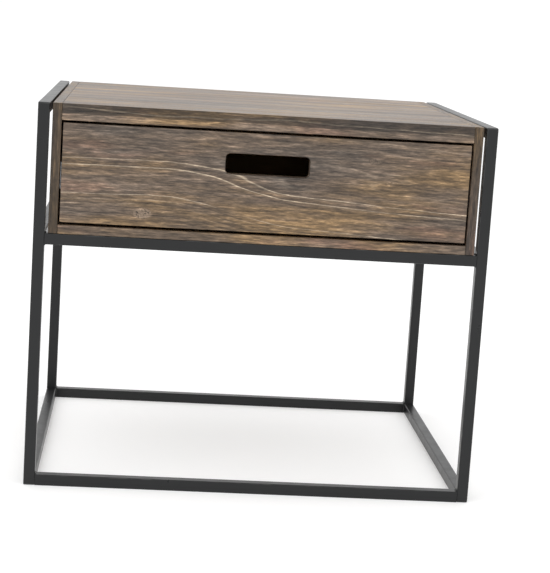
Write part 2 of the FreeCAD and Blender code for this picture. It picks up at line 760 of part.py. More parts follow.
def drawer_dowels():
    """Dowels from the drawer sides into the front and into the back."""
    dowels = []
    for side, sign in SIDES:
        for level in BOX_DOWEL_LEVELS:
            start = (across(sign, BOX_DOWEL_LINE), f"{BOX_START} - {FRONT_SEAT}", level)
            dowels.append(rod(start, Y, "dowel_radius", f"{FRONT_SEAT} + dowel_reach"))
            start = (across(sign, f"{BOX_INNER} + {BOX_SEAT}"), BOX_BACK_LINE, level)
            length = f"{BOX_SEAT} + dowel_reach"
            dowels.append(rod(start, X * -sign, "dowel_radius", length))
    keep(group(dowels), "drawer_dowels")


# ---------------------------------------------------------------- build, check, write
def check():
    """Stop if any object failed or any sub-part has no sound shape."""
    for thing in doc.Objects:
        if {"Invalid", "Error"} & set(thing.State):
            raise RuntimeError(f"{thing.Label} failed: {thing.State}")
    for thing in parts:
        if thing.Shape.isNull() or not thing.Shape.isValid():
            raise RuntimeError(f"{thing.Label} has no sound shape")


side_hoops()
cross_rails()
side_panels()
level_panels()
back_panel()
carcass_dowels()
rail_screws()
slides()
slide_fasteners()
drawer_front()
drawer_sides()
drawer_back()
drawer_bottom()
drawer_dowels()
doc.recompute()
check()

os.makedirs("parts", exist_ok=True)
for thing in parts:
    thing.Shape.exportStep(f"parts/{thing.Label}.step")
    volume = thing.Shape.Volume / 1000
    print(f"{thing.Label}: {len(thing.Shape.Solids)} solid(s), {volume:.1f} cm3")
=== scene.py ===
import json
import math
import bmesh
import bpy
from bpy.props import FloatProperty, FloatVectorProperty, PointerProperty
from mathutils import Matrix, Vector, noise


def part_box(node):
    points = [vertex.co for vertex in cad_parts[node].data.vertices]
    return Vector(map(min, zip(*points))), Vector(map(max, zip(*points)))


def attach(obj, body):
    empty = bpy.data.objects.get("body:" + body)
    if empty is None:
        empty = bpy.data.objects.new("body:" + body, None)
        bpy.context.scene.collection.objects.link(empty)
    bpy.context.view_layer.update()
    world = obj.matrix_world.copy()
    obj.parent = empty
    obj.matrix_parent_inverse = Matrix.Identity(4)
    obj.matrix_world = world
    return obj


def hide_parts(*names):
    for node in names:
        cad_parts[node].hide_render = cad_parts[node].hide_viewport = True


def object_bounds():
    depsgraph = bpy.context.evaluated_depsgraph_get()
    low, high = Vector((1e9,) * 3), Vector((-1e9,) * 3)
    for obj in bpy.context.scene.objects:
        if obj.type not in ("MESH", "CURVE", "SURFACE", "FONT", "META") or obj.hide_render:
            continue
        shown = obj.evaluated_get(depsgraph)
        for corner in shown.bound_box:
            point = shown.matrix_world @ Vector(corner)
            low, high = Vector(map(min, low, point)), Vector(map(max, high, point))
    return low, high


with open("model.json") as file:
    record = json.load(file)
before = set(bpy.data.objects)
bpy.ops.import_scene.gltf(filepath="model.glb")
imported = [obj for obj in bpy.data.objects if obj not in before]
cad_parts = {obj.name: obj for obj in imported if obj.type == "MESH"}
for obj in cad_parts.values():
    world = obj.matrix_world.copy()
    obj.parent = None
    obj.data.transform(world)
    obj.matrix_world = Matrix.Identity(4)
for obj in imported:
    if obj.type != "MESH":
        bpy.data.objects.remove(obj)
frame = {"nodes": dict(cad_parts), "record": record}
CAD_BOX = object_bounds()

bl_info = {
    "name": "Side Table with Drawer",
    "version": (1, 0, 0),
    "blender": (4, 5, 0),
    "location": "View3D > Sidebar > Side Table",
    "description": "Dresses the side table: pine boards, welded steel frame, slides and studio",
    "category": "Add Mesh",
}

MM = 0.001
FLOOR_Z = CAD_BOX[0].z
FLOOR_RADIUS = 40.0

# The camera's place, and how far it is turned about Z, tipped down and rolled, in radians
CAMERA_PLACE = (-0.158, -2.470, 0.6615)
CAMERA_TURN = -0.080
CAMERA_TIP = 0.168
CAMERA_ROLL = 0.064

# The soft square lights: name, place, size, share of the key light's power
LIGHTS = [
    ("key", (-1.6, -2.4, 2.6), 2.4, 1.0),
    ("fill", (2.2, -1.8, 1.6), 1.8, 0.35),
    ("top", (0.0, 0.6, 3.0), 2.5, 0.6),
]
LIGHT_TARGET = (0.0, 0.0, 0.3)

# The boards that are made again with eased edges: node, body, grain, look. The grain is the
# axis that it runs along. XY is along X too, with Y across the board and not through it.
BOARDS = [
    ("top_panel", "frame", "XY", "top"),
    ("bottom_panel", "frame", "X", "bottom"),
    ("left_side_panel", "frame", "Z", "side"),
    ("right_side_panel", "frame", "Z", "side"),
    ("drawer_side_left", "drawer", "Y", "box"),
    ("drawer_side_right", "drawer", "Y", "box"),
    ("drawer_back", "drawer", "X", "box"),
]

# The rails that butt between two legs, and the axis that each lies along: 0 for X, 1 for Y
BUTTED_RAILS = [
    ("bottom_rail_front", 0),
    ("bottom_rail_back", 0),
    ("support_rail_front", 0),
    ("support_rail_back", 0),
    ("support_rail_left", 1),
    ("support_rail_right", 1),
]


# ---------------------------------------------------------------- settings
def colour_property(name, description, default):
    """Return a colour setting."""
    return FloatVectorProperty(
        name=name, description=description, default=default, size=3, subtype="COLOR",
        min=0.0, max=1.0,
    )


def length_property(name, description, default):
    """Return a length setting, in metres."""
    return FloatProperty(
        name=name, description=description, default=default, min=0.0,
        subtype="DISTANCE", unit="LENGTH", precision=4,
    )


class PineSettings(bpy.types.PropertyGroup):
    """Sizes and colours of the boards."""

    ease: length_property("Eased edge", "Rounding along a board's edges", 1.1 * MM)
    slot_ease: length_property("Eased slot", "Rounding along the finger slot's rim", 2.0 * MM)
    waviness: length_property("Waviness", "How uneven a planed face is", 0.22 * MM)
    cell: length_property("Mesh cell", "Spacing of the vertices over a board's face", 12 * MM)
    ring_width: length_property("Ring width", "Spacing of the growth rings", 5.2 * MM)
    earlywood: colour_property("Earlywood", "Soft wood between the rings", (0.165, 0.118, 0.084))
    latewood: colour_property("Latewood", "Hard, dark part of a ring", (0.050, 0.034, 0.024))
    ridge: colour_property("Ridge", "Rubbed crest of a ring", (0.50, 0.40, 0.29))
    ochre: colour_property("Ochre", "Warm patches in the wood", (0.250, 0.158, 0.076))
    rust: colour_property("Rust", "Reddish patches in the wood", (0.235, 0.135, 0.090))
    wash: colour_property("Wash", "Grey wash over the wood", (0.118, 0.098, 0.083))
    plain: colour_property("Plain pine", "Unstained boards inside", (0.520, 0.350, 0.185))
    beech: colour_property("Beech", "Dowels", (0.55, 0.38, 0.22))


class SteelSettings(bpy.types.PropertyGroup):
    """Sizes and colours of the frame and the fittings."""

    coat: colour_property("Coat", "Powder coat on the frame", (0.010, 0.0105, 0.011))
    rubbed: colour_property("Rubbed", "Coat along rubbed edges", (0.06, 0.06, 0.06))
    bead: length_property("Weld bead", "Leg length of a fillet weld", 1.9 * MM)
    ripple: length_property("Ripple", "Spacing of the ripples along a weld", 1.8 * MM)
    zinc: colour_property("Zinc", "Plated slides and screws", (0.42, 0.43, 0.44))
    ball: colour_property("Ball steel", "Polished balls of the slides", (0.72, 0.73, 0.74))
    oxide: colour_property("Black oxide", "Screws that hold the carcass", (0.06, 0.06, 0.06))
    rubber: colour_property("Rubber", "Bumpers of the slides", (0.018, 0.018, 0.018))


class StageSettings(bpy.types.PropertyGroup):
    """The studio around the table."""

    floor: colour_property("Floor", "Pale floor", (0.72, 0.72, 0.72))
    floor_glow: FloatProperty(
        name="Floor glow", description="Light that comes up through the floor",
        default=0.32, min=0.0, max=10.0,
    )
    surround: colour_property("Surround", "Light from all round", (1.0, 1.0, 1.0))
    surround_strength: FloatProperty(
        name="Surround strength", description="Brightness of the surround",
        default=1.05, min=0.0, max=10.0,
    )
    key_power: FloatProperty(
        name="Key light", description="Power of the large soft light",
        default=26.0, min=0.0, max=1000.0, subtype="POWER", unit="POWER",
    )
    lens: FloatProperty(
        name="Lens", description="Focal length of the camera",
        default=107.2, min=10.0, max=300.0, subtype="DISTANCE_CAMERA", unit="CAMERA",
    )


SETTINGS = {
    "side_table_pine": PineSettings,
    "side_table_steel": SteelSettings,
    "side_table_stage": StageSettings,
}


# ---------------------------------------------------------------- node trees
SHADER_SOCKETS = {
    "metallic": "Metallic",
    "specular": "Specular IOR Level",
    "glow": "Emission Color",
    "glow_strength": "Emission Strength",
}


class NodeTree:
    """Builds a material's nodes. An input is another node's output or a plain value."""

    def __init__(self, name):
        self.material = bpy.data.materials.new(name)
        self.material.use_nodes = True
        self.tree = self.material.node_tree
        self.tree.nodes.clear()

    def add(self, kind, inputs=None, **settings):
        """Add a node, set its settings, and link or set its inputs."""
        node = self.tree.nodes.new(kind)
        for name, value in settings.items():
            setattr(node, name, value)
        for key, value in (inputs or {}).items():
            self.feed(node.inputs[key], value)
        return node

    def feed(self, socket, value):
        """Link an output to a socket, or set a plain value on it."""
        if isinstance(value, bpy.types.NodeSocket):
            self.tree.links.new(value, socket)
        elif hasattr(value, "__len__") and socket.type == "RGBA" and len(value) == 3:
            socket.default_value = (*value, 1.0)
        else:
            socket.default_value = value

    def math(self, operation, first, second=None):
        """Return the result of a sum on numbers."""
        inputs = {0: first}
        if second is not None:
            inputs[1] = second
        return self.add("ShaderNodeMath", inputs, operation=operation).outputs[0]

    def total(self, *values):
        """Return values added up, from the first to the last."""
        result = values[0]
        for value in values[1:]:
            result = self.math("ADD", result, value)
        return result

    def product(self, *values):
        """Return values multiplied, from the first to the last."""
        result = values[0]
        for value in values[1:]:
            result = self.math("MULTIPLY", result, value)
        return result

    def vector(self, operation, first, second=None):
        """Return the result of a sum on vectors."""
        inputs = {0: first}
        if second is not None:
            inputs[1] = second
        node = self.add("ShaderNodeVectorMath", inputs, operation=operation)
        return node.outputs["Value" if operation == "LENGTH" else 0]

    def combine(self, first, second, third):
        """Return a vector from three numbers."""
        return self.add("ShaderNodeCombineXYZ", {0: first, 1: second, 2: third}).outputs[0]

    def mix(self, share, first, second, blend="MIX"):
        """Return a mix of two colours."""
        node = self.add("ShaderNodeMix", data_type="RGBA", blend_type=blend)
        colours = [socket for socket in node.inputs if socket.type == "RGBA"]
        self.feed(node.inputs[0], share)
        self.feed(colours[0], first)
        self.feed(colours[1], second)
        return next(socket for socket in node.outputs if socket.type == "RGBA")

    def step(self, value, low, high):
        """Return 0 below low, 1 above high, and a smooth rise between."""
        node = self.add("ShaderNodeMapRange", interpolation_type="SMOOTHSTEP")
        self.feed(node.inputs["Value"], value)
        self.feed(node.inputs["From Min"], low)
        self.feed(node.inputs["From Max"], high)
        return node.outputs[0]

    def noise(self, place, cells, detail, roughness, seed):
        """Return noise from 0 to 1. cells is how many it has per metre along each axis."""
        scaled = self.vector("MULTIPLY", place, cells)
        node = self.add(
            "ShaderNodeTexNoise",
            {"Scale": 1.0, "Detail": detail, "Roughness": roughness, "W": seed},
            noise_dimensions="4D",
        )
        self.feed(node.inputs["Vector"], scaled)
        return node.outputs[0]

    def chance_of(self, number, seed):
        """Return a random value from 0 to 1 for each whole number."""
        node = self.add("ShaderNodeTexWhiteNoise", noise_dimensions="1D")
        self.feed(node.inputs["W"], self.math("ADD", number, seed + 0.5))
        return node.outputs["Value"]

    def place(self):
        """Return the point on the piece, in the table's own frame."""
        return self.add("ShaderNodeTexCoord").outputs["Object"]

    def split(self, vector):
        """Return a vector's three numbers."""
        return list(self.add("ShaderNodeSeparateXYZ", {0: vector}).outputs)

    def edge(self):
        """Return 1 where a surface turns, between its flat faces, and 0 on them."""
        normal = self.add("ShaderNodeNewGeometry").outputs["Normal"]
        parts = self.split(self.vector("ABSOLUTE", normal))
        flattest = self.math("MAXIMUM", self.math("MAXIMUM", parts[0], parts[1]), parts[2])
        return self.step(flattest, 0.995, 0.9)

    def shaded(self, colour, light):
        """Return a colour multiplied by a number."""
        return self.mix(1.0, colour, self.combine(light, light, light), "MULTIPLY")

    def bump(self, height, distance):
        """Return a normal from a height."""
        node = self.add("ShaderNodeBump", {"Strength": 1.0, "Distance": distance})
        self.feed(node.inputs["Height"], height)
        return node.outputs[0]

    def finish(self, colour, roughness, normal=None, **constants):
        """Make the shader, and return the material."""
        inputs = {SHADER_SOCKETS[name]: value for name, value in constants.items()}
        shader = self.add("ShaderNodeBsdfPrincipled", inputs)
        self.feed(shader.inputs["Base Color"], colour)
        self.feed(shader.inputs["Roughness"], roughness)
        if normal is not None:
            self.feed(shader.inputs["Normal"], normal)
        output = self.add("ShaderNodeOutputMaterial")
        self.tree.links.new(shader.outputs[0], output.inputs[0])
        return self.material


# ---------------------------------------------------------------- pine
# The pine's noises: cells per metre along, across and through the board, detail, roughness, seed
PINE_NOISES = {
    "slow": ((2.2, 11, 11), 2.0, 0.5, 0),
    "quick": ((9, 60, 60), 2.0, 0.5, 3),
    "fine": ((70, 1500, 1500), 2.0, 0.5, 5),
    "fibre": ((55, 500, 500), 4.0, 0.70, 7),
    "streak": ((6, 150, 150), 3.0, 0.6, 8),
    "warm_patch": ((4.5, 26, 26), 3.0, 0.55, 9),
    "red_patch": ((6.5, 34, 34), 3.0, 0.55, 11),
    "fleck": ((45, 420, 420), 2.0, 0.5, 13),
    "broken": ((4, 45, 45), 2.0, 0.5, 15),
    "speck": ((420, 420, 420), 2.0, 0.5, 17),
    # The next noise lays the bands of painted sheen on the top
    "sheen_band": ((3.5, 50, 50), 2.0, 0.55, 19),
}


def board_place(nodes, grain, centre):
    """Return the place in a board: along the grain, across its face and through it."""
    moved = nodes.vector("SUBTRACT", nodes.place(), tuple(centre))
    x, y, z = nodes.split(moved)
    order = {"X": (x, z, y), "XY": (x, y, z), "Y": (y, z, x), "Z": (z, y, x)}
    return order[grain]


class Pine(NodeTree):
    """Stained and weathered pine, solid all through: its rings run on from face to face."""

    def __init__(self, name, settings, grain, centre, seed):
        super().__init__(name)
        self.settings = settings
        self.seed = seed
        self.along, self.across, self.through = board_place(self, grain, centre)
        self.grain_place = self.combine(self.along, self.across, self.through)
        self.slow = self.math("SUBTRACT", self.sample("slow"), 0.5)
        self.quick = self.math("SUBTRACT", self.sample("quick"), 0.5)
        self.fibre = self.sample("fibre")
        self.fine = self.sample("fine")
        self.streak = self.sample("streak")
        self.fleck = self.step(self.sample("fleck"), 0.62, 0.72)

    def sample(self, name):
        """Return one of the pine's noises."""
        cells, detail, roughness, offset = PINE_NOISES[name]
        return self.noise(self.grain_place, cells, detail, roughness, self.seed + offset)

    def sweep_rings(self, drop, start, end):
        """Return the height in the board, bent so that its lower rings fall away along it."""
        upper, lower = 0.03, -0.012
        slope = 0.06
        fall = self.product(self.step(self.along, start, end), self.step(self.across, upper, lower))
        bent = self.total(self.across, self.product(fall, drop))
        return self.total(bent, self.product(self.math("MAXIMUM", self.along, 0.0), slope))

    def bend_round_knots(self, bent, knots):
        """Return the height bent round the knots, and how near a knot is.

        Each knot is its place along and across, its radius, how hard it pushes the rings
        aside and how much of its core shows.
        """
        drawn_out = 0.55
        spread = -0.22
        rim, heart = 1.15, 0.55
        core_rings = 2.5
        nearness = 0.0
        for knot_along, knot_across, radius, push, show in knots:
            step_along = self.math("SUBTRACT", self.along, knot_along)
            step_across = self.math("SUBTRACT", self.across, knot_across)
            squeezed = self.combine(self.product(step_along, drawn_out), step_across, 0.0)
            distance = self.math("DIVIDE", self.vector("LENGTH", squeezed), radius)
            falloff = self.math("POWER", 2.0, self.product(distance, distance, spread))
            core = self.step(distance, rim, heart)
            inner = self.product(distance, radius, core)
            bent = self.total(
                bent, self.product(step_across, falloff, -push),
                self.product(inner, core_rings * push))
            nearness = self.math("MAXIMUM", self.product(core, show), nearness)
        return bent, nearness

    def lay_rings(self, pith, warp, knots, sweep):
        """Lay the growth rings round the pith, which is a place across and through the board.

        warp is how far the rings wander along the board. sweep is how far, from where and to
        where the lower rings fall away.
        """
        bent = self.across if sweep is None else self.sweep_rings(*sweep)
        self.bent, self.knot = self.bend_round_knots(bent, knots)
        from_pith = self.combine(
            self.math("SUBTRACT", self.bent, pith[0]),
            self.math("SUBTRACT", self.through, pith[1]), 0.0)
        distance = self.total(
            self.vector("LENGTH", from_pith), self.product(self.slow, warp),
            self.product(self.quick, 3 * MM))
        turns = self.math("DIVIDE", distance, self.settings.ring_width)
        phase = self.math("FRACT", turns)
        self.chance = self.chance_of(self.math("FLOOR", turns), self.seed)
        self.late = self.product(self.step(phase, 0.30, 0.92), self.step(phase, 1.0, 0.96))
        self.crest = self.product(self.step(phase, 0.0, 0.06), self.step(phase, 0.21, 0.10))

    def stain(self, ridged):
        """Return the stained colour. ridged is the height where most of the rubbed crests show."""
        settings = self.settings
        # Warm and reddish patches, under a grey wash
        warm = self.sample("warm_patch")
        colour = self.mix(self.step(warm, 0.46, 0.66), settings.earlywood, settings.ochre)
        red = self.product(self.step(self.sample("red_patch"), 0.56, 0.72), 0.75)
        colour = self.mix(red, colour, settings.rust)
        washed = self.product(self.step(warm, 0.50, 0.30), 0.85)
        colour = self.mix(washed, colour, settings.wash)
        # Rings: their dark late wood, and their rubbed crests
        late_share = self.product(self.late, self.total(self.product(self.chance, 0.38), 0.12))
        colour = self.mix(late_share, colour, settings.latewood)
        colour = self.mix(self.crest_share(ridged), colour, settings.ridge)
        # Dark flecks along the grain, and the speckled cores of the knots
        colour = self.mix(self.product(self.fleck, 0.45), colour, settings.latewood)
        speck = self.step(self.sample("speck"), 0.50, 0.62)
        core = self.mix(0.5, settings.rust, settings.ridge)
        core = self.mix(speck, core, settings.latewood)
        return self.mix(self.knot, colour, core)

    def crest_share(self, ridged):
        """Return how far each ring's rubbed crest shows."""
        broken = self.step(self.sample("broken"), 0.30, 0.55)
        shown = self.product(self.step(self.chance, 0.40, 0.95), 0.9)
        share = self.product(self.crest, self.product(broken, shown))
        if ridged is None:
            return share
        soft = 6 * MM
        outside = 0.15
        low, high = ridged
        rise = self.step(self.bent, low - soft, low + soft)
        fall = self.step(self.bent, high + soft, high - soft)
        inside = self.total(self.product(rise, fall, 1 - outside), outside)
        return self.product(share, inside)

    def light(self, tint, edge_shade, sheen_bands):
        """Return the light and dark of the fibres, with painted shade along the eased edges.

        tint darkens or lightens the whole board. edge_shade darkens the front edge above a
        height: that height and by how much. The last value is the strength of broad dark bands,
        painted sheen that stands in for streaks in the top's sheen.
        """
        fibre_stops, streak_stops, fine_stops = 7.2, 2.8, 1.0
        stops = self.total(
            self.product(self.math("SUBTRACT", self.fibre, 0.5), fibre_stops),
            self.product(self.math("SUBTRACT", self.streak, 0.5), streak_stops),
            self.product(self.math("SUBTRACT", self.fine, 0.5), fine_stops))
        # Painted sheen: broad dark bands in the colour stand in for streaks in the top's sheen
        if sheen_bands:
            sheen_band = self.math("SUBTRACT", self.sample("sheen_band"), 0.5)
            stops = self.total(stops, self.product(sheen_band, sheen_bands))
        light = self.product(self.math("POWER", 2.0, stops), tint)
        if edge_shade is not None:
            light = self.product(light, self.front_edge_shade(*edge_shade))
        # Painted shade: the eased edges are darkened on the whole, so the gaps between the boards
        # read darker and wider. The streaks make it uneven and lighten some edges, like wear.
        gap_shade_threshold, edge_wear_and_gap_shade_strength = 0.62, 2.0
        edge_wear_and_gap_shade = self.product(self.edge(), self.product(
            self.math("SUBTRACT", self.streak, gap_shade_threshold), edge_wear_and_gap_shade_strength))
        return self.product(light, self.total(edge_wear_and_gap_shade, 1.0))

    def front_edge_shade(self, level, depth):
        """Return 1, and less on faces to the front above a level."""
        soft = 0.6 * MM
        front = self.split(self.add("ShaderNodeNewGeometry").outputs["Normal"])[1]
        facing = self.step(front, -0.4, -0.7)
        uneven = self.product(self.total(self.slow, self.quick), 9 * MM)
        height = self.total(self.split(self.place())[2], uneven)
        over = self.step(height, level - soft, level + soft)
        return self.total(self.product(facing, over, -depth), 1.0)

    def surface(self, colour):
        """Make the shader with the fibres' sheen and relief, and return the material."""
        roughness = self.total(self.product(self.fibre, 0.55), self.product(self.streak, 0.45))
        roughness = self.math("MAXIMUM", self.math("SUBTRACT", roughness, 0.06), 0.2)
        roughness = self.total(roughness, self.product(self.late, -0.06))
        relief = self.total(
            self.product(self.late, 0.22),
            self.total(self.product(self.fine, 0.3), self.product(self.fibre, 1.1)))
        relief = self.math("SUBTRACT", relief, self.product(self.fleck, 0.5))
        relief = self.total(relief, self.product(self.streak, 1.1))
        return self.finish(colour, roughness, self.bump(relief, 0.30 * MM), specular=0.40)


def pine_material(name, settings, grain, centre, pith, tint, seed, warp, knots=(), sweep=None,
                  ridged=None, edge_shade=None, sheen_bands=0.0):
    """Return the material of a stained board. Pine's methods say what each value sets."""
    pine = Pine(name, settings, grain, centre, seed)
    pine.lay_rings(pith, warp, knots, sweep)
    colour = pine.stain(ridged)
    return pine.surface(pine.shaded(colour, pine.light(tint, edge_shade, sheen_bands)))


def plain_wood_material(name, grain, centre, colour, seed, ring_width=6 * MM):
    """Unstained wood for the hidden boards, the thin boards and the dowels."""
    nodes = NodeTree(name)
    along, across, through = board_place(nodes, grain, centre)
    place = nodes.combine(along, across, through)
    pith = (-0.02, 0.07)
    warp = 0.02
    slow = nodes.math("SUBTRACT", nodes.noise(place, (2.0, 9, 9), 2.0, 0.5, seed), 0.5)
    from_pith = nodes.combine(
        nodes.math("SUBTRACT", across, pith[0]), nodes.math("SUBTRACT", through, pith[1]), 0.0)
    distance = nodes.total(nodes.vector("LENGTH", from_pith), nodes.product(slow, warp))
    phase = nodes.math("FRACT", nodes.math("DIVIDE", distance, ring_width))
    late = nodes.product(nodes.step(phase, 0.3, 0.9), nodes.step(phase, 1.0, 0.95))
    fibre = nodes.noise(place, (22, 900, 700), 3.0, 0.6, seed + 2)
    dark = tuple(channel * share for channel, share in zip(colour, (0.62, 0.50, 0.38)))
    shade = nodes.mix(nodes.product(late, 0.6), tuple(colour), dark)
    shade = nodes.shaded(shade, nodes.total(nodes.product(fibre, 0.5), 0.75))
    roughness = nodes.total(nodes.product(fibre, 0.2), 0.48)
    relief = nodes.total(fibre, nodes.product(late, 0.4))
    return nodes.finish(shade, roughness, nodes.bump(relief, 0.12 * MM), specular=0.35)


# ---------------------------------------------------------------- steel, zinc and rubber
def coat_material(name, settings):
    """Satin black powder coat: fine orange peel, dust, and rubbed edges."""
    nodes = NodeTree(name)
    place = nodes.place()
    peel = nodes.noise(place, (900, 900, 900), 2.0, 0.5, 1.0)
    grit = nodes.noise(place, (2600, 2600, 2600), 2.0, 0.6, 2.0)
    cloud = nodes.noise(place, (14, 14, 14), 3.0, 0.55, 3.0)
    dull = nodes.noise(place, (45, 45, 45), 3.0, 0.6, 4.0)
    rub = nodes.product(nodes.edge(), nodes.step(dull, 0.44, 0.68))
    light = nodes.total(nodes.product(cloud, 0.7), 0.62, nodes.product(grit, 0.25))
    colour = nodes.mix(nodes.product(rub, 0.6), settings.coat, settings.rubbed)
    colour = nodes.shaded(colour, light)
    roughness = nodes.total(nodes.product(dull, 0.24), 0.20)
    relief = nodes.total(peel, nodes.product(grit, 0.35))
    return nodes.finish(colour, roughness, nodes.bump(relief, 0.05 * MM), specular=0.32)


def metal_material(name, colour, roughness, cells):
    """Plated or polished steel, brushed along the direction with the fewest cells per metre."""
    nodes = NodeTree(name)
    place = nodes.place()
    brushed = nodes.noise(place, cells, 3.0, 0.6, 1.0)
    cloud = nodes.noise(place, (30, 30, 30), 3.0, 0.6, 2.0)
    shade = nodes.shaded(tuple(colour), nodes.total(nodes.product(cloud, 0.5), 0.75))
    spread = 0.22
    rough = nodes.total(nodes.product(brushed, spread), roughness - spread / 2)
    return nodes.finish(shade, rough, nodes.bump(brushed, 0.02 * MM), metallic=1.0)


def rubber_material(name, colour):
    """Matt moulded rubber."""
    nodes = NodeTree(name)
    grain = nodes.noise(nodes.place(), (1500, 1500, 1500), 2.0, 0.5, 1.0)
    shade = nodes.shaded(tuple(colour), nodes.total(nodes.product(grain, 0.6), 0.7))
    rough = nodes.total(nodes.product(grain, 0.2), 0.62)
    return nodes.finish(shade, rough, nodes.bump(grain, 0.05 * MM), specular=0.3)


def dress(material, *node_names):
    """Give a material to CAD nodes."""
    for node_name in node_names:
        slots = frame["nodes"][node_name].material_slots
        for material_slot in slots:
            material_slot.material = material


# ---------------------------------------------------------------- meshes
def add_piece(name, mesh, material, body):
    """Link a mesh as a piece of the table that rides on a body."""
    mesh.materials.append(material)
    piece = bpy.data.objects.new(name, mesh)
    bpy.context.scene.collection.objects.link(piece)
    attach(piece, body)
    return piece


def mesh_from(bm, name, smooth=True):
    """Return a mesh made from a BMesh, which is freed."""
    mesh = bpy.data.meshes.new(name)
    bm.to_mesh(mesh)
    bm.free()
    if smooth:
        mesh.polygons.foreach_set("use_smooth", [True] * len(mesh.polygons))
        mesh.update()
    return mesh


def unit(axis, sign=1.0):
    """Return the direction of an axis: 0 for X, 1 for Y, 2 for Z."""
    direction = Vector((0.0, 0.0, 0.0))
    direction[axis] = sign
    return direction


def cut_positions(low, high, ease, cell):
    """Return the cuts across a board: one just inside each eased edge, the rest evenly spaced."""
    flat_rim = 0.7 * MM
    margin = ease + flat_rim
    inner_low, inner_high = low + margin, high - margin
    count = max(1, round((inner_high - inner_low) / cell))
    return [inner_low + (inner_high - inner_low) * index / count for index in range(count + 1)]


def press_in(bm, low, high, depth):
    """Move the vertices of a board's faces in by up to a depth, and never out."""
    middle = (low + high) / 2
    broad, narrow = 14.0, 55.0  # cells per metre
    on_the_face = 0.05 * MM
    for vertex in bm.verts:
        sample = noise.noise(vertex.co * broad) * 0.6 + noise.noise(vertex.co * narrow) * 0.4
        share = max(0.0, min(1.0, 0.5 + 0.5 * sample))
        for axis in range(3):
            outward = 1.0 if vertex.co[axis] > middle[axis] else -1.0
            gap = min(abs(vertex.co[axis] - low[axis]), abs(high[axis] - vertex.co[axis]))
            if gap < on_the_face:
                vertex.co[axis] -= outward * depth * share


def eased_board(low, high, ease, cell, waviness):
    """Return the mesh of a board with eased edges and slightly uneven faces."""
    bm = bmesh.new()
    size = high - low
    placed = Matrix.Translation((low + high) / 2) @ Matrix.Diagonal((*size, 1.0))
    bmesh.ops.create_cube(bm, size=1.0, matrix=placed)
    bmesh.ops.bevel(
        bm, geom=bm.edges[:], offset=ease, segments=3, profile=0.5, affect="EDGES",
        clamp_overlap=True,
    )
    for axis in range(3):
        direction = unit(axis)
        for position in cut_positions(low[axis], high[axis], ease, cell):
            geometry = bm.verts[:] + bm.edges[:] + bm.faces[:]
            bmesh.ops.bisect_plane(
                bm, geom=geometry, plane_co=direction * position, plane_no=direction)
    press_in(bm, low, high, waviness)
    return mesh_from(bm, "board")


def rounded_rectangle(centre, half_width, half_height, radius, straight_steps, corner_steps):
    """Return the points of a rounded rectangle, anticlockwise, the same number on every ring."""
    corners = [(1, 1, 0), (-1, 1, 90), (-1, -1, 180), (1, -1, 270)]
    arcs = []
    for side_x, side_z, start in corners:
        middle_x = centre[0] + side_x * (half_width - radius)
        middle_z = centre[1] + side_z * (half_height - radius)
        arc = []
        for index in range(corner_steps + 1):
            angle = math.radians(start + 90 * index / corner_steps)
            arc.append((middle_x + radius * math.cos(angle), middle_z + radius * math.sin(angle)))
        arcs.append(arc)
    points = []
    for index, arc in enumerate(arcs):
        following = arcs[(index + 1) % 4][0]
        points.extend(arc)
        last = arc[-1]
        for step in range(1, straight_steps):
            share = step / straight_steps
            points.append((
                last[0] + (following[0] - last[0]) * share,
                last[1] + (following[1] - last[1]) * share,
            ))
    return points


def quarter_round(face, inward, ease, steps=4):
    """Return an eased edge as places: its depth, and how far it stands back from the rim."""
    section = []
    for index in range(steps + 1):
        angle = math.radians(90 * index / steps)
        section.append((face + inward * ease * (1 - math.sin(angle)), ease * (1 - math.cos(angle))))
    return section


def slotted_board(low, high, slot_centre, slot_half, slot_radius, ease, slot_ease, waviness):
    """Return the mesh of an upright board with a rounded slot through it.

    Its rings run from the slot's front rim out over the front face, round the outer edge,
    back over the rear face and through the slot.
    """
    centre = ((low.x + high.x) / 2, (low.z + high.z) / 2)
    half = ((high.x - low.x) / 2, (high.z - low.z) / 2)
    corner = 1.6 * MM
    face_rings = 7
    first_share, last_share = 0.02, 0.985
    straight_steps, corner_steps = 24, 6

    def ring(share, grow, depth):
        """Return one ring: share goes from the slot to the outer edge."""
        middle = [slot_centre[i] + (centre[i] - slot_centre[i]) * share for i in range(2)]
        size = [slot_half[i] + (half[i] - slot_half[i]) * share + grow for i in range(2)]
        radius = slot_radius + (corner - slot_radius) * share + abs(grow) * (1 - share)
        outline = rounded_rectangle(middle, *size, radius, straight_steps, corner_steps)
        return [Vector((x, depth, z)) for x, z in outline]

    rings = []
    for front, face in ((True, low.y), (False, high.y)):
        inward = 1 if front else -1
        slot_rim = [ring(0.0, back, depth) for depth, back in
                    quarter_round(face, inward, slot_ease)]
        faces = []
        for index in range(face_rings):
            share = first_share + (last_share - first_share) * index / (face_rings - 1)
            grow = slot_ease * (1 - share) - ease * share
            faces.append(ring(share, grow, face))
        outer_rim = [ring(1.0, -back, depth) for depth, back in
                     reversed(quarter_round(face, inward, ease))]
        whole = slot_rim + faces + outer_rim
        rings.extend(whole if front else reversed(whole))
    bm = bmesh.new()
    made = [[bm.verts.new(point) for point in points] for points in rings]
    count = len(made[0])
    for index, first in enumerate(made):
        second = made[(index + 1) % len(made)]
        for step in range(count):
            following = (step + 1) % count
            bm.faces.new((first[step], first[following], second[following], second[step]))
    bmesh.ops.recalc_face_normals(bm, faces=bm.faces[:])
    press_in(bm, low, high, waviness)
    return mesh_from(bm, "front")


